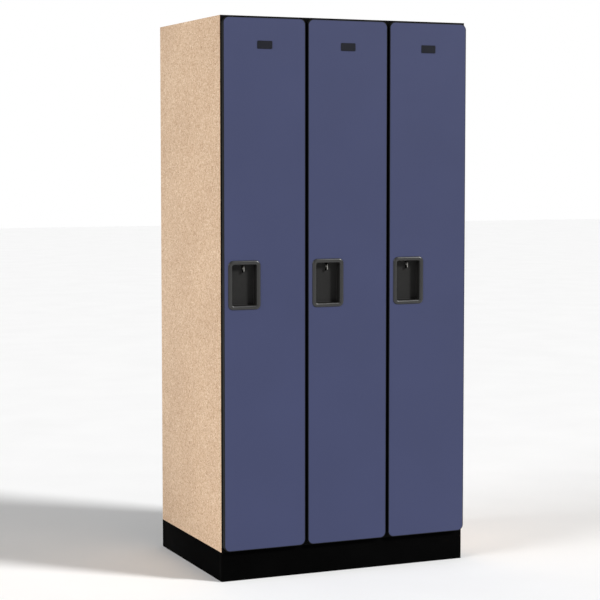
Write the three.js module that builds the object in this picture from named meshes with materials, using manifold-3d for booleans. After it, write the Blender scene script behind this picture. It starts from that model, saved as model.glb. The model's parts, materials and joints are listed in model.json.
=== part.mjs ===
// Locker cabinet: a run of three full-height lockers in one carcass, standing on a plinth.
// Units are millimetres. +X is to the right, +Y to the back and +Z up. The origin is on the
// floor, under the middle of the overall box, so the doors face -Y.
//
// The carcass is a box of panels with two partitions. Each locker has a hat shelf, a coat rod
// and one laminate door. A door is a slab inside an edging ring, with a recessed pull and a
// number plate. It hangs on three concealed hinges at its right edge. A hinge is an arm on the
// carcass, a link, and a cup let into the door. A steel padlock eye on the carcass comes
// forward through a slot in the back of each pull when its door is shut.

import * as THREE from 'three';
import { mergeVertices } from 'three/addons/utils/BufferGeometryUtils.js';
import Module from 'manifold-3d';

const wasm = await Module();
wasm.setup();

// ---------------------------------------------------------------- driving dimensions

const LOCKERS = 3;
const SEAM = 0.25; // air between pieces that touch in the real cabinet

const CARCASS = { width: 914.4, depth: 609.6, height: 1800 };
const PLINTH_HEIGHT = 100;
const BOARD = 19; // thickness of every panel, shelf and plinth board
const BACK_BOARD = 6;
const SHELF_SETBACK = 14;
const HAT_SPACE = 254; // clear height above a hat shelf
const ROD = { radius: 12.7, wall: 1.6, drop: 60 }; // drop is from shelf to rod centre

const DOOR = { thickness: 19, behind: 2, apart: 10, side: 3, top: 6, bottom: 5.6 };
const EDGING = { thick: 2, round: 1.2, cornerRadius: 20.5 };

const PULL = {
  inset: 15.5, // from the door's left edge to the bezel
  width: 116,
  height: 165,
  z: 1004,
  bezel: 14,
  proud: 4,
  depth: 27, // from the front of the bezel to the back wall of the pocket
  wall: 2,
  outerRadius: 17,
  innerRadius: 6,
};
const PLATE = { width: 54, height: 26.5, thick: 1.2, radius: 3, z: 1804 };
const EYE = {
  thick: 2.5,
  tall: 23,
  below: 3, // from the pocket's ceiling to the tab
  offCentre: 3, // the tab stands this far right of the pull's centre
  tip: 10, // how far the tab reaches in front of the carcass
  leg: 9.5, // from the carcass front to the leg behind the pull
  foot: 48, // from the carcass front to the rear end of the foot
  hole: 4, // radius of the shackle hole
  slot: 7, // width of the slot in the pull
  slotEnd: 1.5, // clearance above and below the tab in that slot
};

// A hinge is drawn in plan. x is measured from the door's right edge, y from the carcass front.
const HINGE = {
  armPivot: [-34, -9],
  cupPivot: [-15, -6],
  cupCentre: -22.5,
  cupRadius: 17.5,
  cupDepth: 11.5,
  cupWall: 1,
  pin: 1.4,
  pinHole: 1.7,
  boss: 2.2,
  linkHalf: 1.5,
  linkTall: 4, // half the height of a link
  rimProud: 0.7, // of the cup, above the door's inner face
  wing: { half: 9, tall: 31, proud: 1 },
  lug: { half: 2.8, near: 6.2, far: 8.8, above: 2.6 },
  armHalf: 1.5,
  armTall: 5.6, // half the height of an arm
  armEnd: 66, // from the carcass front to an arm's rear end
  noseSlot: 4.3, // half the height of the slot for the link in an arm's nose
  plate: { thick: 2, front: 20, back: 68, tall: 9, crossFront: 34, crossBack: 54, crossTall: 24 },
  block: { front: 30, back: 58, tall: 6 }, // between an arm and its mounting plate
  endInset: 112, // from the door's end to the outer hinges
};

// ---------------------------------------------------------------- worked-out places

const overallDepth = CARCASS.depth + DOOR.behind + DOOR.thickness + PULL.proud;
const frontY = overallDepth / 2 - CARCASS.depth; // front edge of the carcass
const backY = overallDepth / 2;
const bottomZ = PLINTH_HEIGHT; // underside of the carcass
const topZ = PLINTH_HEIGHT + CARCASS.height;
const leftX = -CARCASS.width / 2;
const rightX = CARCASS.width / 2;

const doorWidth = (CARCASS.width - 2 * DOOR.side - (LOCKERS - 1) * DOOR.apart) / LOCKERS;
const doorPitch = doorWidth + DOOR.apart;
const doorBottom = bottomZ + DOOR.bottom;
const doorTop = topZ - DOOR.top;
const doorHeight = doorTop - doorBottom;
const doorInnerY = frontY - DOOR.behind;
const doorFaceY = doorInnerY - DOOR.thickness;

const innerBackY = backY - BACK_BOARD - SEAM; // what the shelves and partitions reach back to
const floorZ = bottomZ + BOARD; // top of the bottom panel
const ceilingZ = topZ - BOARD; // underside of the top panel
const shelfTop = ceilingZ - HAT_SPACE;
const shelfZ = shelfTop - BOARD;

// The left edge of locker n's door, and the inner faces of the locker behind it.
const doorLeft = (n) => leftX + DOOR.side + n * doorPitch;
const partitionX = (n) => doorLeft(n) + doorWidth + DOOR.apart / 2;
const wallLeft = (n) => (n === 0 ? leftX + BOARD : partitionX(n - 1) + BOARD / 2);
const wallRight = (n) => (n === LOCKERS - 1 ? rightX - BOARD : partitionX(n) - BOARD / 2);

// ---------------------------------------------------------------- finishes

const finish = (color, roughness, metalness = 0) => ({ color, roughness, metalness });
const FINISH = {
  particleboard: finish(0xd4b79c, 0.8),
  blackBoard: finish(0x121212, 0.6),
  doorLaminate: finish(0x4c516f, 0.5),
  blackPlastic: finish(0x26272a, 0.45),
  steel: finish(0xa8a9ab, 0.35, 1),
  chrome: finish(0xd5d7da, 0.12, 1),
};

// ---------------------------------------------------------------- making solids

function solidOf(geometry) {
  const bare = geometry.clone();
  bare.deleteAttribute('normal');
  bare.deleteAttribute('uv');
  const merged = mergeVertices(bare, 1e-4);
  return new wasm.Manifold(new wasm.Mesh({
    numProp: 3,
    vertProperties: new Float32Array(merged.attributes.position.array),
    triVerts: new Uint32Array(merged.index.array),
  }));
}

function geometryOf(solid) {
  const mesh = solid.getMesh();
  const geometry = new THREE.BufferGeometry();
  geometry.setAttribute('position', new THREE.BufferAttribute(mesh.vertProperties, 3));
  geometry.setIndex(new THREE.BufferAttribute(mesh.triVerts, 1));
  geometry.computeVertexNormals();
  return geometry;
}

function join(first, ...others) {
  return geometryOf(others.reduce((sum, part) => sum.add(solidOf(part)), solidOf(first)));
}

function cut(first, ...others) {
  return geometryOf(others.reduce((rest, part) => rest.subtract(solidOf(part)), solidOf(first)));
}

// A box between two corners.
function box([x0, y0, z0], [x1, y1, z1]) {
  const geometry = new THREE.BoxGeometry(x1 - x0, y1 - y0, z1 - z0);
  return geometry.translate((x0 + x1) / 2, (y0 + y1) / 2, (z0 + z1) / 2);
}

// A rounded rectangle round a centre, as an outline.
function roundedRectangle(cx, cy, width, height, radius) {
  const x = width / 2 - radius;
  const y = height / 2 - radius;
  const shape = new THREE.Shape();
  shape.absarc(cx + x, cy + y, radius, 0, Math.PI / 2);
  shape.absarc(cx - x, cy + y, radius, Math.PI / 2, Math.PI);
  shape.absarc(cx - x, cy - y, radius, Math.PI, 1.5 * Math.PI);
  shape.absarc(cx + x, cy - y, radius, 1.5 * Math.PI, 2 * Math.PI);
  shape.closePath();
  return shape;
}

// An outline drawn in x and z, made solid from y = front to y = back.
function upright(outline, front, back, segments = 3) {
  const geometry = new THREE.ExtrudeGeometry(outline, {
    depth: back - front,
    bevelEnabled: false,
    curveSegments: segments,
  });
  return geometry.rotateX(Math.PI / 2).translate(0, back, 0);
}

// The same with both rims rounded off, inside the outline.
function softUpright(outline, front, back, round) {
  const geometry = new THREE.ExtrudeGeometry(outline, {
    depth: back - front - 2 * round,
    bevelEnabled: true,
    bevelThickness: round,
    bevelSize: round,
    bevelOffset: -round,
    bevelSegments: 2,
    curveSegments: 3,
  });
  return geometry.rotateX(Math.PI / 2).translate(0, back - round, 0);
}

// An outline drawn in plan, made solid from z = low to z = high.
function flat(points, low, high) {
  const outline = new THREE.Shape(points.map(([x, y]) => new THREE.Vector2(x, y)));
  const geometry = new THREE.ExtrudeGeometry(outline, { depth: high - low, bevelEnabled: false });
  return geometry.translate(0, 0, low);
}

function postZ([x, y], radius, low, high, sides = 8) {
  const geometry = new THREE.CylinderGeometry(radius, radius, high - low, sides);
  return geometry.rotateX(Math.PI / 2).translate(x, y, (low + high) / 2);
}

function postY(x, z, radius, front, back, sides = 16) {
  const geometry = new THREE.CylinderGeometry(radius, radius, back - front, sides);
  return geometry.translate(x, (front + back) / 2, z);
}

const cabinet = new THREE.Group();
cabinet.name = 'locker_cabinet';

function addTo(group, name, geometry, look) {
  const mesh = new THREE.Mesh(geometry, new THREE.MeshStandardMaterial(look));
  mesh.name = name;
  group.add(mesh);
  return mesh;
}

// ---------------------------------------------------------------- carcass and plinth

function makeCarcass() {
  const group = new THREE.Group();
  const board = (name, low, high, look) => addTo(group, name, box(low, high), look);

  const left = leftX + BOARD;
  const right = rightX - BOARD;
  board('left_side_panel', [leftX, frontY, bottomZ], [left, backY, topZ], FINISH.particleboard);
  board('right_side_panel', [right, frontY, bottomZ], [rightX, backY, topZ], FINISH.particleboard);

  const inLeft = left + SEAM;
  const inRight = right - SEAM;
  board('top_panel', [inLeft, frontY, ceilingZ], [inRight, innerBackY, topZ], FINISH.particleboard);
  board('bottom_panel', [inLeft, frontY, bottomZ], [inRight, innerBackY, floorZ], FINISH.blackBoard);
  board('back_panel', [inLeft, backY - BACK_BOARD, bottomZ], [inRight, backY, topZ], FINISH.blackBoard);

  for (let n = 0; n < LOCKERS - 1; n += 1) {
    const x = partitionX(n);
    const low = [x - BOARD / 2, frontY, floorZ + SEAM];
    const high = [x + BOARD / 2, innerBackY, ceilingZ - SEAM];
    board(`partition_${n + 1}`, low, high, FINISH.blackBoard);
  }
  return group;
}

function makePlinth() {
  const group = new THREE.Group();
  const top = PLINTH_HEIGHT - SEAM;
  const board = (name, low, high) => addTo(group, name, box(low, high), FINISH.blackBoard);

  const front = frontY + BOARD;
  const rear = backY - BOARD;
  board('plinth_front', [leftX, frontY, 0], [rightX, front, top]);
  board('plinth_rear', [leftX, rear, 0], [rightX, backY, top]);
  const low = front + SEAM;
  const high = rear - SEAM;
  board('plinth_left_end', [leftX, low, 0], [leftX + BOARD, high, top]);
  board('plinth_right_end', [rightX - BOARD, low, 0], [rightX, high, top]);
  board('plinth_stretcher', [-BOARD / 2, low, 0], [BOARD / 2, high, top]);
  return group;
}

// ---------------------------------------------------------------- inside a locker

function hatShelf(n) {
  const low = [wallLeft(n) + SEAM, frontY + SHELF_SETBACK, shelfZ];
  const high = [wallRight(n) - SEAM, innerBackY - SEAM, shelfTop];
  return box(low, high);
}

// A chromed tube from wall to wall under the hat shelf, at mid depth.
function coatRod(n) {
  const length = wallRight(n) - wallLeft(n) - 2 * SEAM;
  const bore = ROD.radius - ROD.wall;
  const profile = [
    new THREE.Vector2(bore, -length / 2),
    new THREE.Vector2(ROD.radius, -length / 2),
    new THREE.Vector2(ROD.radius, length / 2),
    new THREE.Vector2(bore, length / 2),
    new THREE.Vector2(bore, -length / 2),
  ];
  const tube = new THREE.LatheGeometry(profile, 16).rotateZ(Math.PI / 2);
  const middle = (wallLeft(n) + wallRight(n)) / 2;
  return tube.translate(middle, (frontY + backY) / 2, shelfZ - ROD.drop);
}

const pullCentre = (n) => doorLeft(n) + PULL.inset + PULL.width / 2;
const eyeX = (n) => pullCentre(n) + EYE.offCentre;
const eyeTop = PULL.z + PULL.height / 2 - PULL.bezel - EYE.below;

// The padlock eye is a bent steel strap: a foot on the locker's left wall, a leg behind the
// pull, and a tab that comes forward, with a hole for the shackle.
function padlockEye(n) {
  const foot = wallLeft(n) + SEAM;
  const tab = eyeX(n) - EYE.thick / 2;
  const leg = frontY + EYE.leg;
  const strap = flat([
    [foot, leg],
    [tab, leg],
    [tab, frontY - EYE.tip],
    [tab + EYE.thick, frontY - EYE.tip],
    [tab + EYE.thick, leg + EYE.thick],
    [foot + EYE.thick, leg + EYE.thick],
    [foot + EYE.thick, frontY + EYE.foot],
    [foot, frontY + EYE.foot],
  ], eyeTop - EYE.tall, eyeTop);
  const hole = new THREE.CylinderGeometry(EYE.hole, EYE.hole, 4 * EYE.thick, 12);
  hole.rotateZ(Math.PI / 2);
  hole.translate(eyeX(n), frontY - EYE.hole, eyeTop - EYE.tall / 2);
  return cut(strap, hole);
}

// ---------------------------------------------------------------- door

const doorCentreX = (n) => doorLeft(n) + doorWidth / 2;
const doorCentreZ = (doorBottom + doorTop) / 2;
const hingeHeights = [doorTop - HINGE.endInset, doorCentreZ, doorBottom + HINGE.endInset];

function doorOutline(n, inset) {
  const width = doorWidth - 2 * inset;
  const height = doorHeight - 2 * inset;
  const radius = EDGING.cornerRadius - inset;
  return roundedRectangle(doorCentreX(n), doorCentreZ, width, height, radius);
}

// The slab has an opening for the pull and three blind bores for the hinge cups.
function doorPanel(n) {
  const outline = doorOutline(n, EDGING.thick + SEAM);
  const slab = upright(outline, doorFaceY, doorInnerY);
  const clear = PULL.bezel - PULL.wall - 2 * SEAM;
  const width = PULL.width - 2 * clear;
  const height = PULL.height - 2 * clear;
  const radius = PULL.innerRadius + PULL.wall;
  const opening = roundedRectangle(pullCentre(n), PULL.z, width, height, radius);
  const cuts = [upright(opening, doorFaceY - 1, doorInnerY + 1)];
  const cupX = doorLeft(n) + doorWidth + HINGE.cupCentre;
  for (const z of hingeHeights) {
    const boreFront = doorInnerY - HINGE.cupDepth - SEAM;
    cuts.push(postY(cupX, z, HINGE.cupRadius + SEAM, boreFront, doorInnerY + 1));
  }
  return cut(slab, ...cuts);
}

// The edging is a band round the slab, as deep as the door, with its two outer arrises rounded.
function doorEdging(n) {
  const whole = softUpright(doorOutline(n, 0), doorFaceY, doorInnerY, EDGING.round);
  return cut(whole, upright(doorOutline(n, EDGING.thick), doorFaceY - 1, doorInnerY + 1));
}

// A rounded bezel on the door's face, and a pocket with a slot in its back for the padlock eye.
function pullCup(n) {
  const x = pullCentre(n);
  const front = doorFaceY - PULL.proud;
  const pocketBack = front + PULL.depth;
  const ring = roundedRectangle(x, PULL.z, PULL.width, PULL.height, PULL.outerRadius);
  const softRing = softUpright(ring, front, doorFaceY + 2 * PULL.proud, PULL.proud - 1);
  const big = PULL.height;
  const behind = box(
    [x - big, doorFaceY - SEAM, PULL.z - big],
    [x + big, doorFaceY + 4 * PULL.proud, PULL.z + big],
  );
  const bezel = cut(softRing, behind);

  const bodyEdge = PULL.bezel - PULL.wall;
  const bodyRadius = PULL.innerRadius + PULL.wall;
  const bodyOutline = roundedRectangle(
    x, PULL.z, PULL.width - 2 * bodyEdge, PULL.height - 2 * bodyEdge, bodyRadius,
  );
  const body = upright(bodyOutline, doorFaceY - PULL.proud / 2, pocketBack + PULL.wall);
  const pocketOutline = roundedRectangle(
    x, PULL.z, PULL.width - 2 * PULL.bezel, PULL.height - 2 * PULL.bezel, PULL.innerRadius,
  );
  const pocket = upright(pocketOutline, front - 1, pocketBack);
  const slotHalf = EYE.slot / 2;
  const slot = box(
    [eyeX(n) - slotHalf, pocketBack - 1, eyeTop - EYE.tall - EYE.slotEnd],
    [eyeX(n) + slotHalf, pocketBack + PULL.wall + 1, eyeTop + EYE.slotEnd],
  );
  return cut(join(bezel, body), pocket, slot);
}

function numberPlate(n) {
  const outline = roundedRectangle(
    doorCentreX(n), PLATE.z, PLATE.width, PLATE.height, PLATE.radius,
  );
  const back = doorFaceY - SEAM;
  return upright(outline, back - PLATE.thick, back, 2);
}

// ---------------------------------------------------------------- concealed hinge

// Each piece of a hinge is made at the door's right edge x, at height z.
const plan = (x, [px, py]) => [x + px, frontY + py];

// The cup: a shallow pot with two wings on the door's inner face, and two lugs for its pin.
function hingeCup(x, z) {
  const { cupRadius, cupDepth, cupWall, cupCentre, cupPivot, pinHole, rimProud, wing, lug } = HINGE;
  const bore = cupRadius - cupWall;
  const bottom = doorInnerY - cupDepth;
  const rim = doorInnerY + rimProud;
  const profile = [
    new THREE.Vector2(0, bottom),
    new THREE.Vector2(cupRadius, bottom),
    new THREE.Vector2(cupRadius, rim),
    new THREE.Vector2(bore, rim),
    new THREE.Vector2(bore, bottom + cupWall),
    new THREE.Vector2(0, bottom + cupWall),
  ];
  const centre = x + cupCentre;
  const pot = new THREE.LatheGeometry(profile, 16).translate(centre, 0, z);
  const wings = cut(
    box(
      [centre - wing.half, doorInnerY + SEAM, z - wing.tall],
      [centre + wing.half, doorInnerY + wing.proud, z + wing.tall],
    ),
    postY(centre, z, bore, bottom, rim + 1),
  );
  const [pinX, pinY] = plan(x, cupPivot);
  const lugs = [[-lug.far, -lug.near], [lug.near, lug.far]].map(([low, high]) => box(
    [pinX - lug.half, bottom + cupWall / 2, z + low],
    [pinX + lug.half, pinY + lug.above, z + high],
  ));
  const pinBore = postZ([pinX, pinY], pinHole, z - lug.far - 1, z + lug.far + 1);
  return cut(join(pot, wings, ...lugs), pinBore);
}

// The link joins the arm's pin to the cup's pin, and carries both pins.
function hingeLink(x, z) {
  const { boss, pin, linkHalf, linkTall, armTall, lug } = HINGE;
  const from = plan(x, HINGE.armPivot);
  const to = plan(x, HINGE.cupPivot);
  const length = Math.hypot(to[0] - from[0], to[1] - from[1]);
  const nx = (-linkHalf * (to[1] - from[1])) / length;
  const ny = (linkHalf * (to[0] - from[0])) / length;
  const bar = flat([
    [from[0] - nx, from[1] - ny],
    [to[0] - nx, to[1] - ny],
    [to[0] + nx, to[1] + ny],
    [from[0] + nx, from[1] + ny],
  ], z - linkTall, z + linkTall);
  return join(
    bar,
    postZ(from, boss, z - linkTall, z + linkTall),
    postZ(to, boss, z - linkTall, z + linkTall),
    postZ(from, pin, z - armTall, z + armTall),
    postZ(to, pin, z - lug.far, z + lug.far),
  );
}

// The arm runs back from its pin and stands on a mounting plate screwed to the wall at wallX.
function hingeArm(x, z, wallX) {
  const { boss, armHalf, armTall, armEnd, noseSlot, pinHole, plate, block } = HINGE;
  const pivot = plan(x, HINGE.armPivot);
  const plateX = wallX - SEAM - plate.thick;
  const bar = box(
    [pivot[0] - armHalf, pivot[1], z - armTall],
    [pivot[0] + armHalf, frontY + armEnd, z + armTall],
  );
  const nose = postZ(pivot, boss, z - armTall, z + armTall);
  const standoff = box(
    [pivot[0], frontY + block.front, z - block.tall],
    [plateX + plate.thick / 2, frontY + block.back, z + block.tall],
  );
  const spine = box(
    [plateX, frontY + plate.front, z - plate.tall],
    [plateX + plate.thick, frontY + plate.back, z + plate.tall],
  );
  const cross = box(
    [plateX, frontY + plate.crossFront, z - plate.crossTall],
    [plateX + plate.thick, frontY + plate.crossBack, z + plate.crossTall],
  );
  const slot = box(
    [pivot[0] - 2 * boss, pivot[1] - 2 * boss, z - noseSlot],
    [pivot[0] + 2 * boss, pivot[1] + boss + 0.8, z + noseSlot],
  );
  const pinBore = postZ(pivot, pinHole, z - armTall - 1, z + armTall + 1);
  return cut(join(bar, nose, standoff, spine, cross), slot, pinBore);
}

// ---------------------------------------------------------------- one locker

function makeLocker(n) {
  const group = new THREE.Group();
  const number = n + 1;
  addTo(group, `hat_shelf_${number}`, hatShelf(n), FINISH.blackBoard);
  addTo(group, `coat_rod_${number}`, coatRod(n), FINISH.chrome);
  addTo(group, `padlock_eye_${number}`, padlockEye(n), FINISH.steel);
  addTo(group, `door_panel_${number}`, doorPanel(n), FINISH.doorLaminate);
  addTo(group, `door_edging_${number}`, doorEdging(n), FINISH.blackPlastic);
  addTo(group, `pull_cup_${number}`, pullCup(n), FINISH.blackPlastic);
  addTo(group, `number_plate_${number}`, numberPlate(n), FINISH.blackPlastic);

  const hingeX = doorLeft(n) + doorWidth;
  ['top', 'middle', 'bottom'].forEach((place, i) => {
    const z = hingeHeights[i];
    addTo(group, `hinge_cup_${number}_${place}`, hingeCup(hingeX, z), FINISH.steel);
    addTo(group, `hinge_link_${number}_${place}`, hingeLink(hingeX, z), FINISH.steel);
    addTo(group, `hinge_arm_${number}_${place}`, hingeArm(hingeX, z, wallRight(n)), FINISH.steel);
  });
  return group;
}

cabinet.add(makeCarcass());
cabinet.add(makePlinth());
for (let n = 0; n < LOCKERS; n += 1) {
  cabinet.add(makeLocker(n));
}

export default cabinet;
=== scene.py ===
"""Locker cabinet: looks for three full-height lockers with slate-blue laminate doors.

Everything is in metres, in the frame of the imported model: +X right, +Y to the back, +Z up.
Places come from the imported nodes. MM turns the shop's millimetres into metres.
"""
import json
import math

import bmesh
import bpy
from mathutils import Matrix, Vector


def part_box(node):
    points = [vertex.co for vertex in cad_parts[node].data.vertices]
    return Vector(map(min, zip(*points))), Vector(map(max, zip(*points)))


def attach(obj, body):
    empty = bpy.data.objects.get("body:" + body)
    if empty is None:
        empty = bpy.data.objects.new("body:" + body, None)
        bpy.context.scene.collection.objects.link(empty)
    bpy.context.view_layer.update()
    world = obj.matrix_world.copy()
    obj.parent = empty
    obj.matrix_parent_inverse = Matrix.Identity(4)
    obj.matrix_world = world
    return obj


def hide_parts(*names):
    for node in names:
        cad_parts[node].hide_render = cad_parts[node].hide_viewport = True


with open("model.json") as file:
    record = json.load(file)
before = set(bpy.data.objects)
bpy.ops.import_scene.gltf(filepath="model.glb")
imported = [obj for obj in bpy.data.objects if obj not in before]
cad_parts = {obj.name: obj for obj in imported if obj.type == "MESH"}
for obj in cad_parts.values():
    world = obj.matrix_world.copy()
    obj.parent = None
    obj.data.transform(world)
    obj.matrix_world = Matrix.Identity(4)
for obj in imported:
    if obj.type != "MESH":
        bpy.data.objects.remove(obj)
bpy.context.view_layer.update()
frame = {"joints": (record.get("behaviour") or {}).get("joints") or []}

MM = 0.001
LOCKERS = (1, 2, 3)
PLACES = ("top", "middle", "bottom")

# ------------------------------------------------------------------ node materials


def srgb(r, g, b):
    """An 8-bit screen colour as the linear RGBA that shader sockets take."""

    def linear(c):
        c /= 255
        return c / 12.92 if c <= 0.04045 else ((c + 0.055) / 1.055) ** 2.4

    return (linear(r), linear(g), linear(b), 1.0)


class Surface:
    """A node material on a Principled shader, with short calls for the textures it needs."""

    def __init__(self, name, roughness, metallic=0.0, specular=0.5):
        self.material = bpy.data.materials.new(name)
        self.material.use_nodes = True
        self.tree = self.material.node_tree
        self.shader = self.tree.nodes["Principled BSDF"]
        self.shader.inputs["Roughness"].default_value = roughness
        self.shader.inputs["Metallic"].default_value = metallic
        self.shader.inputs["Specular IOR Level"].default_value = specular
        self.where = self.tree.nodes.new("ShaderNodeTexCoord").outputs["Object"]

    def add(self, kind, **inputs):
        node = self.tree.nodes.new(kind)
        for key, value in inputs.items():
            self.feed(node.inputs[key.replace("_", " ")], value)
        return node

    def feed(self, socket, value):
        if isinstance(value, bpy.types.NodeSocket):
            self.tree.links.new(value, socket)
        else:
            socket.default_value = value

    def placed(self, scale=(1, 1, 1), turn=(0, 0, 0)):
        return self.add("ShaderNodeMapping", Vector=self.where, Scale=scale, Rotation=turn).outputs[0]

    def noise(self, scale, detail=2.0, where=None, rough=0.5):
        node = self.add("ShaderNodeTexNoise", Vector=where or self.where, Scale=scale, Detail=detail)
        node.inputs["Roughness"].default_value = rough
        return node.outputs["Fac"]

    def chips(self, scale, where=None):
        """Random tone of each cell, which reads as a wood chip or a pigment grain."""
        node = self.add("ShaderNodeTexVoronoi", Vector=where or self.where, Scale=scale)
        split = self.add("ShaderNodeSeparateColor", Color=node.outputs["Color"])
        return split.outputs[0], node.outputs["Distance"]

    def ramp(self, fac, *stops):
        node = self.add("ShaderNodeValToRGB", Fac=fac)
        line = node.color_ramp
        while len(line.elements) < len(stops):
            line.elements.new(0.5)
        for element, (at, colour) in zip(line.elements, stops):
            element.position = at
            element.color = colour
        return node.outputs["Color"]

    def mix(self, fac, a, b, blend="MIX"):
        node = self.tree.nodes.new("ShaderNodeMix")
        node.data_type = "RGBA"
        node.blend_type = blend
        self.feed(node.inputs[0], fac)
        self.feed(node.inputs[6], a)
        self.feed(node.inputs[7], b)
        return node.outputs[2]

    def span(self, fac, low, high):
        return self.add("ShaderNodeMapRange", Value=fac, To_Min=low, To_Max=high).outputs[0]

    def combine(self, operation, a, b=0.0):
        node = self.tree.nodes.new("ShaderNodeMath")
        node.operation = operation
        self.feed(node.inputs[0], a)
        self.feed(node.inputs[1], b)
        return node.outputs[0]

    def colour(self, value):
        self.feed(self.shader.inputs["Base Color"], value)

    def roughness(self, value):
        self.feed(self.shader.inputs["Roughness"], value)

    def bump(self, height, strength, depth):
        node = self.add("ShaderNodeBump", Height=height, Strength=strength, Distance=depth)
        self.feed(self.shader.inputs["Normal"], node.outputs[0])


def particleboard():
    """Tan board of pressed chips: long chips lie both ways, with fine dust between them."""
    s = Surface("particleboard", roughness=0.72, specular=0.25)
    along, _ = s.chips(310, s.placed(scale=(1, 1, 0.38), turn=(0.25, 0, 0)))
    across, edge = s.chips(290, s.placed(scale=(1, 0.36, 1), turn=(-0.3, 0, 0)))
    dust, _ = s.chips(760)
    patch = s.ramp(s.noise(140, 1), (0.44, (0, 0, 0, 1)), (0.56, (1, 1, 1, 1)))
    chips = s.mix(patch, along, across)
    grain = s.mix(0.3, chips, dust)
    tone = s.ramp(
        grain,
        (0.05, srgb(158, 124, 94)),
        (0.2, srgb(193, 160, 130)),
        (0.5, srgb(212, 183, 154)),
        (0.8, srgb(224, 198, 171)),
        (0.95, srgb(244, 226, 204)),
    )
    cloud = s.ramp(s.noise(5, 3), (0.3, srgb(242, 240, 238)), (0.7, srgb(252, 252, 251)))
    s.colour(s.mix(1.0, tone, cloud, "MULTIPLY"))
    s.roughness(s.span(grain, 0.66, 0.8))
    s.bump(s.combine("ADD", grain, edge), 0.12, 0.1 * MM)
    return s.material


def faced_board(name, dark, light, roughness, specular):
    """Melamine-faced board: one colour with a pebbled press texture and faint handling marks."""
    s = Surface(name, roughness=roughness, specular=specular)
    pebble, rim = s.chips(1500)
    cloud = s.noise(9, 4)
    mottle = s.mix(0.35, cloud, pebble)
    s.colour(s.ramp(mottle, (0.3, srgb(*dark)), (0.7, srgb(*light))))
    s.roughness(s.span(s.noise(26, 5), roughness - 0.07, roughness + 0.09))
    s.bump(rim, 0.18, 0.08 * MM)
    return s.material


def door_laminate():
    """Slate-blue high-pressure laminate with a suede texture, and slight cloudiness."""
    s = Surface("door_laminate", roughness=0.5, specular=0.32)
    pigment, rim = s.chips(1250)
    cloud = s.noise(3.2, 3)
    mottle = s.mix(0.3, cloud, pigment)
    s.colour(s.ramp(mottle, (0.25, srgb(49, 55, 87)), (0.75, srgb(53, 59, 93))))
    s.roughness(s.span(s.noise(18, 5), 0.44, 0.56))
    suede = s.combine("ADD", s.noise(900, 2), s.combine("MULTIPLY", rim, 0.5))
    s.bump(suede, 0.14, 0.07 * MM)
    return s.material


def moulded(name, dark, light, roughness, specular, grain):
    """Moulded plastic with a spark-eroded texture."""
    s = Surface(name, roughness=roughness, specular=specular)
    speck, rim = s.chips(grain)
    blend = s.mix(0.4, s.noise(14, 4), speck)
    s.colour(s.ramp(blend, (0.25, srgb(*dark)), (0.75, srgb(*light))))
    s.roughness(s.span(s.noise(40, 4), roughness - 0.06, roughness + 0.08))
    s.bump(s.combine("ADD", rim, s.noise(1100, 1)), 0.2, 0.06 * MM)
    return s.material


def metal(name, dark, light, roughness, stretch, strength):
    """Metal with fine drawn lines along one axis and faint stains."""
    s = Surface(name, roughness=roughness, metallic=1.0)
    lines = s.noise(900, 3, s.placed(scale=stretch))
    stain = s.noise(35, 4)
    s.colour(s.ramp(s.mix(0.5, lines, stain), (0.3, srgb(*dark)), (0.7, srgb(*light))))
    s.roughness(s.span(s.mix(0.4, lines, stain), roughness * 0.75, roughness * 1.35))
    s.bump(lines, strength, 0.03 * MM)
    return s.material


def floor_material():
    s = Surface("pale_floor", roughness=0.7, specular=0.2)
    s.colour(s.ramp(s.noise(2.5, 3), (0.3, srgb(251, 251, 251)), (0.7, srgb(254, 254, 254))))
    return s.material


MAT = {
    "particleboard": particleboard(),
    "black_board": faced_board("black_board", (50, 50, 53), (66, 66, 69), 0.42, 0.5),
    # The plinth is black, and its colour is pushed to almost pure black as painted shade under the carcass.
    "black_plinth": faced_board("black_plinth", (1, 1, 1), (4, 4, 4), 0.8, 0.02),
    "door_laminate": door_laminate(),
    "edging": moulded("edging", (8, 9, 10), (14, 15, 16), 0.5, 0.2, 1300),
    "carcass_band": moulded("carcass_band", (3, 3, 3), (6, 6, 6), 0.7, 0.05, 1300),
    "pull_plastic": moulded("pull_plastic", (34, 34, 34), (46, 46, 45), 0.3, 0.45, 1700),
    # The pocket's plastic is darker than the bezel's as painted shade in the recess. Its higher roughness is
    # the pocket's real matte texture.
    "pull_pocket_painted_shade": moulded("pull_pocket_painted_shade", (22, 22, 21), (33, 32, 31), 0.62, 0.2, 900),
    "plate_plastic": moulded("plate_plastic", (18, 20, 27), (26, 27, 35), 0.42, 0.15, 2100),
    "padlock_steel": metal("padlock_steel", (140, 139, 134), (186, 185, 180), 0.34, (1, 1, 0.05), 0.2),
    "hinge_steel": metal("hinge_steel", (158, 156, 150), (196, 194, 189), 0.27, (1, 0.08, 1), 0.12),
    "dark_steel": metal("dark_steel", (62, 62, 64), (92, 92, 94), 0.4, (1, 1, 0.1), 0.1),
    "chrome": metal("chrome", (196, 198, 201), (222, 224, 226), 0.1, (0.04, 1, 1), 0.05),
}

# ------------------------------------------------------------------ mesh helpers


def finish_mesh(bm, name, slot, body, replaced=(), smooth=35):
    """Makes an object of a bmesh, gives it its finish, and lets it ride on its body."""
    bmesh.ops.recalc_face_normals(bm, faces=bm.faces)
    mesh = bpy.data.meshes.new(name)
    bm.to_mesh(mesh)
    bm.free()
    piece = bpy.data.objects.new(name, mesh)
    bpy.context.scene.collection.objects.link(piece)
    return settle(piece, slot, body, replaced, smooth)


def settle(piece, slot, body, replaced=(), smooth=35):
    mesh = piece.data
    mesh.polygons.foreach_set("use_smooth", [True] * len(mesh.polygons))
    mesh.set_sharp_from_angle(angle=math.radians(smooth))
    if not mesh.materials:
        mesh.materials.append(MAT[slot])
    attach(piece, body)
    if replaced:
        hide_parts(*replaced)
    return piece


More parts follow.
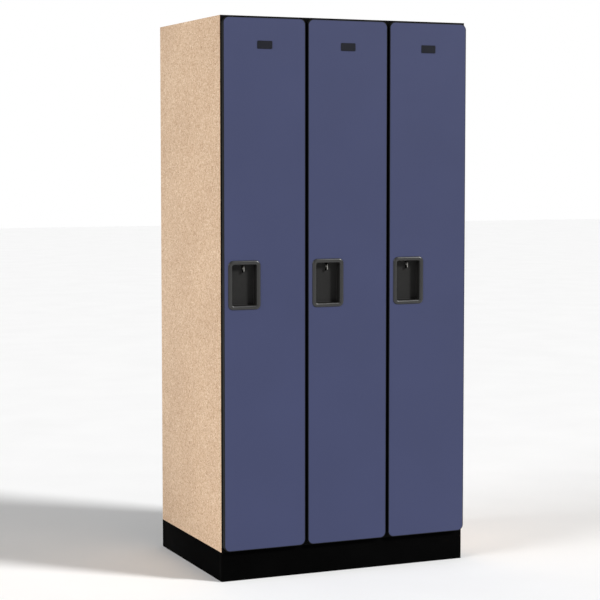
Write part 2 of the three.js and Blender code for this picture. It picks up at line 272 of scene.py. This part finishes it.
def add_box(bm, lo, hi, bevel=0.6 * MM, segments=2):
    """A box with softened edges."""
    size = Vector(hi) - Vector(lo)
    place = Matrix.Translation((Vector(lo) + Vector(hi)) / 2) @ Matrix.Diagonal((*size, 1))
    made = bmesh.ops.create_cube(bm, size=1, matrix=place)["verts"]
    edges = list({e for v in made for e in v.link_edges})
    if bevel:
        bmesh.ops.bevel(
            bm, geom=edges, offset=min(bevel, min(size) * 0.45), segments=segments,
            profile=0.5, affect="EDGES", clamp_overlap=True,
        )


def add_loft(bm, rings, close_start=True, close_end=True):
    """Faces between rings of points, each ring going round the same way."""
    rows = [[bm.verts.new(p) for p in ring] for ring in rings]
    count = len(rows[0])
    for a, b in zip(rows, rows[1:]):
        for i in range(count):
            j = (i + 1) % count
            bm.faces.new((a[i], a[j], b[j], b[i]))
    if close_start:
        bm.faces.new(rows[0])
    if close_end:
        bm.faces.new(rows[-1])
    if not (close_start or close_end):
        for i in range(count):
            j = (i + 1) % count
            bm.faces.new((rows[-1][i], rows[-1][j], rows[0][j], rows[0][i]))


def rounded_points(cx, cz, width, height, radius, steps=10):
    """Points round a rounded rectangle in x and z."""
    points = []
    x, z = width / 2 - radius, height / 2 - radius
    for quarter, (sx, sz) in enumerate(((1, 1), (-1, 1), (-1, -1), (1, -1))):
        for i in range(steps + 1):
            a = (quarter + i / steps) * math.pi / 2
            points.append((cx + sx * x + radius * math.cos(a), cz + sz * z + radius * math.sin(a)))
    return points


def ring_at(points, y):
    return [(x, y, z) for x, z in points]


def add_turned(bm, profile, centre, axis, steps=32):
    """A profile of (radius, height) points turned round an axis through centre."""
    axis = Vector(axis).normalized()
    side = axis.orthogonal().normalized()
    other = axis.cross(side)
    rings = []
    for radius, height in profile:
        ring = []
        for i in range(steps):
            a = 2 * math.pi * i / steps
            out = side * math.cos(a) + other * math.sin(a)
            ring.append(Vector(centre) + axis * height + out * radius)
        rings.append(ring)
    add_loft(bm, rings)


def add_screw(bm, centre, axis, radius=3.6 * MM, proud=0.9 * MM):
    """A pan head with a cross recess, standing on centre."""
    r, h = radius, proud
    head = [(r * 0.96, -0.2 * MM), (r, h * 0.25), (r * 0.94, h * 0.7), (r * 0.78, h), (r * 0.5, h)]
    recess = [(r * 0.42, h * 0.7), (r * 0.12, h * 0.35)]
    add_turned(bm, head + recess, centre, axis, 16)
    axis = Vector(axis).normalized()
    side = axis.orthogonal().normalized()
    for arm in (side, axis.cross(side)):
        along = arm * r * 0.5
        wide = axis.cross(arm) * r * 0.09
        top = Vector(centre) + axis * (h + 0.02 * MM)
        low = Vector(centre) + axis * h * 0.55
        ends = [(-1, -1), (1, -1), (1, 1), (-1, 1)]
        add_loft(bm, [[p + along * i + wide * j for i, j in ends] for p in (low, top)])


def carve(piece, tools):
    """Cuts the tool objects out of a piece, applies the result and removes the tools."""
    for tool in tools:
        cut = piece.modifiers.new("cut", "BOOLEAN")
        cut.operation = "DIFFERENCE"
        cut.solver = "EXACT"
        cut.object = tool
    graph = bpy.context.evaluated_depsgraph_get()
    mesh = bpy.data.meshes.new_from_object(piece.evaluated_get(graph))
    piece.modifiers.clear()
    old = piece.data
    piece.data = mesh
    bpy.data.meshes.remove(old)
    for tool in tools:
        bpy.data.objects.remove(tool)
    return piece


def tool_from(bm):
    bmesh.ops.recalc_face_normals(bm, faces=bm.faces)
    mesh = bpy.data.meshes.new("tool")
    bm.to_mesh(mesh)
    bm.free()
    tool = bpy.data.objects.new("tool", mesh)
    bpy.context.scene.collection.objects.link(tool)
    return tool


def loose_object(bm, name):
    """An object that still has to be carved, before settle()."""
    piece = tool_from(bm)
    piece.name = name
    piece.data.name = name
    return piece


# ------------------------------------------------------------------ carcass and plinth

BAND = 0.9 * MM
front_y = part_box("left_side_panel")[0].y


def paint_faces(piece, slot, directions):
    """Gives the faces that look a given way another finish than the rest of the board."""
    piece.data.materials.append(MAT[slot])
    for face in piece.data.polygons:
        if any(face.normal.dot(Vector(d)) > 0.72 for d in directions):
            face.material_index = 1


def board(node, slot, banded=True, raw_slot=None, raw=(), hold_back=0.0):
    """A board with softened edges. Its front edge carries a rounded plastic band."""
    lo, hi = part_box(node)
    core_lo = Vector(lo)
    core_hi = Vector(hi)
    if banded:
        core_lo.y += BAND
    core_hi.y -= hold_back
    bm = bmesh.new()
    add_box(bm, core_lo, core_hi, 0.5 * MM)
    piece = finish_mesh(bm, node + "_board", slot, "carcass", (node,))
    if raw:
        paint_faces(piece, raw_slot, raw)
    if banded:
        bm = bmesh.new()
        add_box(bm, lo, (hi.x, lo.y + BAND - 0.05 * MM, hi.z), 0.7 * MM, 3)
        finish_mesh(bm, node + "_edge_band", "carcass_band", "carcass")
    return piece


def make_carcass():
    sides = {"left_side_panel": -1, "right_side_panel": 1}
    for node, out in sides.items():
        raw = ((out, 0, 0), (0, 1, 0), (0, 0, 1), (0, 0, -1))
        board(node, "black_board", raw_slot="particleboard", raw=raw)
    board("top_panel", "black_board", raw_slot="particleboard", raw=((0, 0, 1), (0, 1, 0)))
    board("bottom_panel", "black_board", raw_slot="particleboard", raw=((0, 0, -1),))
    for node in ("partition_1", "partition_2", "hat_shelf_1", "hat_shelf_2", "hat_shelf_3"):
        board(node, "black_board")
    board("back_panel", "black_board", banded=False, hold_back=0.6 * MM)
    # The plinth boards are black, with painted shade in their colour.
    for node in ("plinth_front", "plinth_rear", "plinth_left_end", "plinth_right_end"):
        board(node, "black_plinth", banded=False)
    board("plinth_stretcher", "black_plinth", banded=False)


def make_back_screws():
    """Countersunk screws hold the back panel to every board behind it, flush with its face."""
    lo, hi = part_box("back_panel")
    rows = 9
    inset = 9 * MM
    columns = [lo.x + inset, hi.x - inset]
    columns += [sum(c.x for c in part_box(f"partition_{n}")) / 2 for n in (1, 2)]
    pitch = (hi.z - lo.z - 2 * inset) / (rows - 1)
    spots = {(x, lo.z + inset + pitch * i) for x in columns for i in range(rows)}
    between = [x / 2 + columns[(i + 1) % 4] / 2 for i, x in enumerate(columns)]
    spots |= {(x, z) for x in between for z in (lo.z + inset, hi.z - inset)}
    bm = bmesh.new()
    for x, z in sorted(spots):
        add_screw(bm, (x, hi.y - 0.65 * MM, z), (0, 1, 0), 3.4 * MM, 0.6 * MM)
    finish_mesh(bm, "back_panel_screws", "dark_steel", "carcass")


# ------------------------------------------------------------------ coat rods


def make_coat_rod(n):
    lo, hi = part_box(f"coat_rod_{n}")
    y, z = (lo.y + hi.y) / 2, (lo.z + hi.z) / 2
    radius = (hi.z - lo.z) / 2
    bore = radius - 1.6 * MM
    half = (hi.x - lo.x) / 2 - 1 * MM
    middle = ((lo.x + hi.x) / 2, y, z)
    lip = 0.4 * MM
    profile = [
        (bore, -half), (radius - lip, -half), (radius, -half + lip),
        (radius, half - lip), (radius - lip, half), (bore, half),
    ]
    bm = bmesh.new()
    axis = Vector((1, 0, 0))
    rings = []
    steps = 48
    for r, x in profile:
        turn = [2 * math.pi * i / steps for i in range(steps)]
        circle = [(math.cos(a), math.sin(a)) for a in turn]
        rings.append([Vector(middle) + axis * x + Vector((0, r * c, r * s)) for c, s in circle])
    add_loft(bm, rings, False, False)
    finish_mesh(bm, f"coat_rod_{n}_tube", "chrome", "carcass", (f"coat_rod_{n}",))
    for side, x in (("left", lo.x), ("right", hi.x)):
        make_rod_socket(n, side, x, y, z, radius)


def make_rod_socket(n, side, x, y, z, rod):
    """A round flange on the wall with a collar round the rod's end, held by three screws."""
    inward = 1 if side == "left" else -1
    flange, collar, long = rod + 10 * MM, rod + 2.2 * MM, 12 * MM
    gap = rod + 0.25 * MM
    profile = [
        (gap, 0), (flange - 0.5 * MM, 0), (flange, 0.6 * MM),
        (flange, 1.6 * MM), (flange - 0.8 * MM, 2.3 * MM),
        (collar + 1.5 * MM, 2.5 * MM), (collar, 4 * MM), (collar, long - 0.6 * MM), (collar - 0.5 * MM, long),
        (gap, long),
    ]
    bm = bmesh.new()
    steps = 40
    rings = []
    for r, h in profile:
        turn = [2 * math.pi * i / steps for i in range(steps)]
        rings.append([(x + inward * h, y + r * math.cos(a), z + r * math.sin(a)) for a in turn])
    add_loft(bm, rings, False, False)
    for i in range(3):
        a = math.radians(90 + 120 * i)
        spot = rod + 6.4 * MM
        where = (x + inward * 2.1 * MM, y + spot * math.cos(a), z + spot * math.sin(a))
        add_screw(bm, where, (inward, 0, 0), 2.6 * MM, 0.8 * MM)
    finish_mesh(bm, f"rod_socket_{n}_{side}", "chrome", "carcass")


# ------------------------------------------------------------------ padlock eyes


def bent_path(points, radius, steps=8):
    """A path in plan through the points, with an arc at each inner point."""
    path = [Vector(points[0])]
    for a, b, c in zip(points, points[1:], points[2:]):
        a, b, c = Vector(a), Vector(b), Vector(c)
        start = b + (a - b).normalized() * radius
        end = b + (c - b).normalized() * radius
        centre = start + (c - b).normalized() * radius
        for i in range(steps + 1):
            t = i / steps * math.pi / 2
            path.append(centre + (start - centre) * math.cos(t) + (end - centre) * math.sin(t))
    path.append(Vector(points[-1]))
    return path


def make_padlock_eye(n):
    node = f"padlock_eye_{n}"
    lo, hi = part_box(node)
    thick = 2.5 * MM
    half = thick / 2
    leg_y = front_y + 9.5 * MM + half
    corner_r = 5 * MM
    path = bent_path(
        [(lo.x + half, hi.y), (lo.x + half, leg_y), (hi.x - half, leg_y), (hi.x - half, lo.y + corner_r)],
        3.5 * MM,
    )
    tall = (hi.z - lo.z) / 2
    middle = (lo.z + hi.z) / 2
    stations = [(p, tall) for p in path]
    for i in range(1, 8):
        a = i / 8 * math.pi / 2
        tip = Vector((path[-1].x, lo.y + corner_r * (1 - math.sin(a))))
        stations.append((tip, tall - corner_r * (1 - math.cos(a))))
    chamfer = 0.35 * MM
    rings = []
    for i, (p, h) in enumerate(stations):
        before = stations[max(i - 1, 0)][0]
        after = stations[min(i + 1, len(stations) - 1)][0]
        along = (after - before).normalized()
        out = Vector((-along.y, along.x))
        section = [
            (-half, -h + chamfer), (-half + chamfer, -h), (half - chamfer, -h), (half, -h + chamfer),
            (half, h - chamfer), (half - chamfer, h), (-half + chamfer, h), (-half, h - chamfer),
        ]
        rings.append([(p.x + out.x * s, p.y + out.y * s, middle + z) for s, z in section])
    bm = bmesh.new()
    add_loft(bm, rings)
    piece = loose_object(bm, node + "_strap")
    bm = bmesh.new()
    hole = (hi.x - half, front_y - 4 * MM, middle)
    r = 4 * MM
    profile = [
        (r + 1 * MM, -half - 1 * MM), (r, -half + 0.4 * MM),
        (r, half - 0.4 * MM), (r + 1 * MM, half + 1 * MM),
    ]
    add_turned(bm, profile, hole, (1, 0, 0), 28)
    carve(piece, [tool_from(bm)])
    settle(piece, "padlock_steel", "carcass", (node,))
    bm = bmesh.new()
    for back in (24 * MM, 39 * MM):
        add_screw(bm, (lo.x + thick, front_y + back, middle), (1, 0, 0), 4 * MM, 1.6 * MM)
    finish_mesh(bm, node + "_screws", "hinge_steel", "carcass")


# ------------------------------------------------------------------ doors


def door_box(n):
    lo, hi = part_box(f"door_edging_{n}")
    return lo, hi, (lo.x + hi.x) / 2, (lo.z + hi.z) / 2


EDGING = 2 * MM
DOOR_CORNER = 20.5 * MM


def make_edging(n):
    """The plastic edging: a band as deep as the door, with its outer arrises rounded."""
    lo, hi, cx, cz = door_box(n)
    deep = hi.y - lo.y
    arris = 1.2 * MM
    steps = 6
    section = [(EDGING, 0.05 * MM)]
    for i in range(steps + 1):
        a = i / steps * math.pi / 2
        section.append((arris * (1 - math.sin(a)), arris * (1 - math.cos(a))))
    section += [(inset, deep - y) for inset, y in reversed(section)]
    rings = []
    for inset, y in section:
        width, height = hi.x - lo.x - 2 * inset, hi.z - lo.z - 2 * inset
        rings.append(ring_at(rounded_points(cx, cz, width, height, DOOR_CORNER - inset, 12), lo.y + y))
    bm = bmesh.new()
    add_loft(bm, rings, False, False)
    finish_mesh(bm, f"door_edging_{n}_band", "edging", f"door_{n}", (f"door_edging_{n}",))


def make_slab(n):
    """The laminate slab, with its pull opening and the blind bores of its hinge cups."""
    lo, hi, cx, cz = door_box(n)
    inset, radius = EDGING + 0.12 * MM, DOOR_CORNER
    arris = 0.35 * MM
    rings = []
    for extra, y in ((arris, lo.y), (0, lo.y + arris), (0, hi.y - arris), (arris, hi.y)):
        edge = inset + extra
        width, height = hi.x - lo.x - 2 * edge, hi.z - lo.z - 2 * edge
        rings.append(ring_at(rounded_points(cx, cz, width, height, radius - edge, 12), y))
    bm = bmesh.new()
    add_loft(bm, rings)
    piece = loose_object(bm, f"door_panel_{n}_slab")
    pull_lo, pull_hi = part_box(f"pull_cup_{n}")
    px, pz = (pull_lo.x + pull_hi.x) / 2, (pull_lo.z + pull_hi.z) / 2
    frame_edge = 11.5 * MM
    width, height = pull_hi.x - pull_lo.x - 2 * frame_edge, pull_hi.z - pull_lo.z - 2 * frame_edge
    opening = rounded_points(px, pz, width, height, 8 * MM, 6)
    bm = bmesh.new()
    add_loft(bm, [ring_at(opening, lo.y - 1 * MM), ring_at(opening, hi.y + 1 * MM)])
    tools = [tool_from(bm)]
    for place in PLACES:
        cup_lo, cup_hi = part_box(f"hinge_cup_{n}_{place}")
        centre = (cup_lo.x + cup_hi.x) / 2, 0, (cup_lo.z + cup_hi.z) / 2
        bm = bmesh.new()
        profile = [(17.75 * MM, cup_lo.y - 0.2 * MM), (17.75 * MM, hi.y + 1 * MM)]
        add_turned(bm, profile, centre, (0, 1, 0), 40)
        tools.append(tool_from(bm))
    carve(piece, tools)
    settle(piece, "door_laminate", f"door_{n}", (f"door_panel_{n}",))


def make_pull(n):
    """The pull: a crowned bezel, a drafted pocket with a filleted floor, and its shell behind."""
    node = f"pull_cup_{n}"
    lo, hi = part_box(node)
    face_y = door_box(n)[0].y
    cx, cz = (lo.x + hi.x) / 2, (lo.z + hi.z) / 2
    proud = face_y - lo.y
    floor = (hi.y - face_y) - 2 * MM
    bezel = 14 * MM

    def ring(inset, out):
        """A ring inset from the bezel's outline, standing out from the door's face."""
        radius = 17 * MM - min(inset, bezel) * 11 / 14
        if inset > bezel:
            radius = max(6 * MM - (inset - bezel), 1.5 * MM)
        width, height = hi.x - lo.x - 2 * inset, hi.z - lo.z - 2 * inset
        return ring_at(rounded_points(cx, cz, width, height, radius, 10), face_y - out)

    wall = 12 * MM
    rings = [
        ring(wall + 4 * MM, -floor - 2 * MM), ring(wall + 1.2 * MM, -floor - 1.9 * MM),
        ring(wall + 0.3 * MM, -floor - 1 * MM), ring(wall, -floor),
        ring(wall, 0.1 * MM), ring(0.5 * MM, 0.1 * MM), ring(0, 0.35 * MM),
    ]
    steps = 14
    for i in range(steps + 1):
        t = i / steps
        inset = bezel * t
        lift = (1 - abs(2 * t - 1) ** 2.6) ** 0.62
        rings.append(ring(inset, max(0.5 * MM, proud * lift)))
    rings.append(ring(bezel + 0.15 * MM, -1 * MM))
    fillet = 3 * MM
    draft = 0.6 * MM
    for i in range(6):
        a = i / 5 * math.pi / 2
        rings.append(ring(bezel + draft + fillet * (1 - math.cos(a)), -floor + fillet * (1 - math.sin(a))))
    bm = bmesh.new()
    add_loft(bm, rings)
    piece = loose_object(bm, node + "_moulding")
    eye_lo, eye_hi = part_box(f"padlock_eye_{n}")
    eye_x = eye_hi.x - 1.25 * MM
    bm = bmesh.new()
    side, end = 3.5 * MM, 1.5 * MM
    slot_lo = (eye_x - side, face_y + floor - 2 * MM, eye_lo.z - end)
    add_box(bm, slot_lo, (eye_x + side, hi.y + 2 * MM, eye_hi.z + end), 1.2 * MM, 3)
    carve(piece, [tool_from(bm)])
    settle(piece, "pull_plastic", f"door_{n}", (node,), 40)
    # The faces inside the bezel take the darker pocket plastic, which paints the recess's shade into their
    # colour.
    piece.data.materials.append(MAT["pull_pocket_painted_shade"])
    inner_x, inner_z = (hi.x - lo.x) / 2 - bezel + 0.3 * MM, (hi.z - lo.z) / 2 - bezel + 0.3 * MM
    for face in piece.data.polygons:
        x, y, z = face.center
        if y > face_y - 1.5 * MM and abs(x - cx) < inner_x and abs(z - cz) < inner_z:
            face.material_index = 1


def make_number_plate(n):
    """A blank plate: a raised rim round a flat field, held by two rivets."""
    node = f"number_plate_{n}"
    lo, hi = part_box(node)
    cx, cz = (lo.x + hi.x) / 2, (lo.z + hi.z) / 2
    deep = hi.y - lo.y

    def ring(inset, out):
        width, height = hi.x - lo.x - 2 * inset, hi.z - lo.z - 2 * inset
        return ring_at(rounded_points(cx, cz, width, height, 3 * MM - inset * 0.8, 6), hi.y - out)

    rings = [
        ring(0.3 * MM, 0), ring(0, 0.2 * MM), ring(0, deep - 0.4 * MM), ring(0.35 * MM, deep),
        ring(1.5 * MM, deep), ring(1.8 * MM, deep - 0.35 * MM),
    ]
    bm = bmesh.new()
    add_loft(bm, rings)
    for side in (-1, 1):
        spot = (cx + side * 21.5 * MM, hi.y - deep + 0.35 * MM, cz)
        dome = [(1.5 * MM, 0), (1.4 * MM, 0.15 * MM), (1 * MM, 0.26 * MM), (0.4 * MM, 0.3 * MM)]
        add_turned(bm, dome, spot, (0, -1, 0), 16)
    finish_mesh(bm, node + "_plate", "plate_plastic", f"door_{n}", (node,))


# ------------------------------------------------------------------ concealed hinges


def make_hinge_cup(n, place):
    """A pressed pot with a rolled rim, wings with round ends, two screws and the pin's lugs."""
    node = f"hinge_cup_{n}_{place}"
    lo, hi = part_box(node)
    inner = door_box(n)[1].y
    cx, cz = (lo.x + hi.x) / 2, (lo.z + hi.z) / 2
    r, bottom, rim = 17.5 * MM, lo.y, inner + 0.7 * MM
    profile = [
        (0.5 * MM, bottom), (r - 1.5 * MM, bottom), (r - 0.5 * MM, bottom + 0.4 * MM), (r, bottom + 1.5 * MM),
        (r, rim - 0.3 * MM), (r - 0.2 * MM, rim), (r - 0.8 * MM, rim), (r - 1 * MM, rim - 0.3 * MM),
        (r - 1 * MM, bottom + 2.4 * MM), (r - 1.5 * MM, bottom + 1.4 * MM), (r - 2.5 * MM, bottom + 1 * MM),
        (0.5 * MM, bottom + 1 * MM),
    ]
    bm = bmesh.new()
    add_turned(bm, profile, (cx, 0, cz), (0, 1, 0), 40)
    low, high = inner + 0.25 * MM, inner + 1 * MM
    for side in (-1, 1):
        half, reach = 9 * MM, 31 * MM
        outline = []
        for i in range(13):
            a = math.pi * i / 12
            outline.append((cx + half * math.cos(a), cz + side * (reach - half + half * math.sin(a))))
        start = r - 2.2 * MM
        outline += [(cx - half, cz + side * start), (cx + half, cz + side * start)]
        inset = [(x + (cx - x) * 0.03, z + (cz + side * 23 * MM - z) * 0.03) for x, z in outline]
        add_loft(bm, [ring_at(outline, low), ring_at(outline, high - 0.2 * MM), ring_at(inset, high)])
    pin = [o for o in frame["joints"] if o["name"] == f"door_swing_{n}"][0]["pos_m"]
    for side in (-1, 1):
        z0, z1 = sorted((cz + side * 6.2 * MM, cz + side * 8.8 * MM))
        lug_top = pin[1] + 2.6 * MM
        add_box(bm, (pin[0] - 2.8 * MM, bottom + 0.5 * MM, z0), (pin[0] + 2.8 * MM, lug_top, z1), 0.8 * MM, 3)
    finish_mesh(bm, node + "_pot", "hinge_steel", f"door_{n}", (node,))
    bm = bmesh.new()
    for side in (-1, 1):
        add_screw(bm, (cx, high - 0.35 * MM, cz + side * 24 * MM), (0, 1, 0), 3.4 * MM, 0.35 * MM)
    finish_mesh(bm, node + "_screws", "hinge_steel", f"door_{n}")


def add_pin(bm, at, radius, low, high, steps=20):
    c = 0.25 * MM
    profile = [(radius - c, low), (radius, low + c), (radius, high - c), (radius - c, high)]
    add_turned(bm, profile, (at[0], at[1], 0), (0, 0, 1), steps)


def make_hinge_link(n, place):
    """A round-ended link with its two pins."""
    node = f"hinge_link_{n}_{place}"
    lo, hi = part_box(node)
    joints = {o["name"]: o["pos_m"] for o in frame["joints"]}
    a = Vector(joints[f"hinge_link_turn_{n}"][:2])
    b = Vector(joints[f"door_swing_{n}"][:2])
    cz = (lo.z + hi.z) / 2
    along = (b - a).normalized()
    out = Vector((-along.y, along.x))
    boss, waist, tall = 2.2 * MM, 1.5 * MM, 4 * MM
    outline = []
    for centre, way in ((b, 1), (a, -1)):
        for i in range(13):
            t = math.radians(-62 + 124 * i / 12)
            outline.append(centre + (along * math.cos(t) + out * math.sin(t)) * boss * way)
        mid = centre + (-along * way) * 4 * MM + out * waist * way
        outline.append(mid)
        other = (a if way > 0 else b) + along * way * 4 * MM + out * waist * way
        outline.append(other)
    bm = bmesh.new()
    rings = []
    for shrink, z in ((0.94, -tall), (1, -tall + 0.3 * MM), (1, tall - 0.3 * MM), (0.94, tall)):
        centre = (a + b) / 2
        rings.append([(*(centre + (p - centre) * shrink), cz + z) for p in outline])
    add_loft(bm, rings)
    add_pin(bm, a, 1.4 * MM, cz - 5.6 * MM, cz + 5.6 * MM)
    add_pin(bm, b, 1.4 * MM, cz - 8.8 * MM, cz + 8.8 * MM)
    finish_mesh(bm, node + "_bar", "hinge_steel", f"hinge_links_{n}", (node,))


def make_hinge_arm(n, place):
    """The arm: a forked nose, a channel with adjusting screws, and its cross-shaped plate."""
    node = f"hinge_arm_{n}_{place}"
    lo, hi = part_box(node)
    joints = {o["name"]: o["pos_m"] for o in frame["joints"]}
    px, py = joints[f"hinge_link_turn_{n}"][:2]
    cz = (lo.z + hi.z) / 2
    half, tall = 1.5 * MM, 5.6 * MM
    end = front_y + 66 * MM
    bm = bmesh.new()
    for side in (-1, 1):
        z0, z1 = sorted((cz + side * 4.35 * MM, cz + side * tall))
        profile = [(2 * MM, z0), (2.2 * MM, z0 + 0.2 * MM), (2.2 * MM, z1 - 0.2 * MM), (2 * MM, z1)]
        add_turned(bm, profile, (px, py, 0), (0, 0, 1), 20)
        add_box(bm, (px - half, py + 0.6 * MM, z0), (px + half, py + 8 * MM, z1), 0.3 * MM)
    add_box(bm, (px - half, py + 4.2 * MM, cz - tall), (px + half, end, cz + tall), 0.9 * MM, 3)
    plate = hi.x - 2 * MM
    block_lo = (px + 0.5 * MM, front_y + 30 * MM, cz - 6 * MM)
    block_hi = (plate + 1 * MM, front_y + 58 * MM, cz + 6 * MM)
    add_box(bm, block_lo, block_hi, 1.2 * MM, 3)
    add_box(bm, (plate, front_y + 20 * MM, cz - 9 * MM), (hi.x, front_y + 68 * MM, cz + 9 * MM), 0.6 * MM, 3)
    cross_lo = (plate, front_y + 34 * MM, cz - 24 * MM)
    cross_hi = (hi.x, front_y + 54 * MM, cz + 24 * MM)
    add_box(bm, cross_lo, cross_hi, 0.6 * MM, 3)
    finish_mesh(bm, node + "_channel", "hinge_steel", "carcass", (node,))
    bm = bmesh.new()
    for back in (22 * MM, 44 * MM):
        add_screw(bm, (px - half, front_y + back, cz), (-1, 0, 0), 3.2 * MM, 1.1 * MM)
    for side in (-1, 1):
        add_screw(bm, (plate, front_y + 44 * MM, cz + side * 16 * MM), (-1, 0, 0), 3.8 * MM, 1.3 * MM)
    finish_mesh(bm, node + "_screws", "hinge_steel", "carcass")


# ------------------------------------------------------------------ stage, light and camera


def make_stage():
    bm = bmesh.new()
    bmesh.ops.create_grid(bm, x_segments=4, y_segments=4, size=30)
    mesh = bpy.data.meshes.new("floor")
    bm.to_mesh(mesh)
    bm.free()
    mesh.materials.append(floor_material())
    floor = bpy.data.objects.new("floor", mesh)
    bpy.context.scene.collection.objects.link(floor)


def sun(name, direction, spread, strength):
    """Even light from one direction. Its spread in degrees sets how soft the shadows are."""
    light = bpy.data.lights.new(name, "SUN")
    light.angle = math.radians(spread)
    light.energy = strength
    lamp = bpy.data.objects.new(name, light)
    lamp.rotation_euler = Vector(direction).to_track_quat("Z", "Y").to_euler()
    bpy.context.scene.collection.objects.link(lamp)


def make_light():
    """A dim room seen as a white backdrop, a key from the upper front right and a left fill."""
    world = bpy.data.worlds.new("studio")
    world.use_nodes = True
    tree = world.node_tree
    room = tree.nodes["Background"]
    room.inputs["Color"].default_value = (1, 1, 1, 1)
    room.inputs["Strength"].default_value = 0.26
    backdrop = tree.nodes.new("ShaderNodeBackground")
    backdrop.inputs["Color"].default_value = (1, 1, 1, 1)
    backdrop.inputs["Strength"].default_value = 1.0
    seen = tree.nodes.new("ShaderNodeLightPath")
    mix = tree.nodes.new("ShaderNodeMixShader")
    tree.links.new(seen.outputs["Is Camera Ray"], mix.inputs[0])
    tree.links.new(room.outputs[0], mix.inputs[1])
    tree.links.new(backdrop.outputs[0], mix.inputs[2])
    tree.links.new(mix.outputs[0], tree.nodes["World Output"].inputs["Surface"])
    bpy.context.scene.world = world
    sun("key", (1.05, -1, 0.9), 11, 3.2)
    sun("left_fill", (-1, -0.15, 0.4), 35, 1.9)
    bpy.context.scene.view_settings.view_transform = "Standard"


def make_camera():
    """A long lens on the front left, a little above mid height, turned slightly down."""
    camera = bpy.data.objects.new("camera", bpy.data.cameras.new("camera"))
    camera.data.sensor_width = 36
    camera.data.lens = 105.72
    camera.data.shift_y = -0.03
    camera.location = (-2.5418, -5.7774, 1.4246)
    camera.rotation_euler = (math.radians(90 - 3.99), 0, math.radians(-23.39))
    bpy.context.scene.collection.objects.link(camera)
    bpy.context.scene.camera = camera


make_carcass()
make_back_screws()
for number in LOCKERS:
    make_coat_rod(number)
    make_padlock_eye(number)
    make_edging(number)
    make_slab(number)
    make_pull(number)
    make_number_plate(number)
    for where in PLACES:
        make_hinge_cup(number, where)
        make_hinge_link(number, where)
        make_hinge_arm(number, where)
make_stage()
make_light()
make_camera()
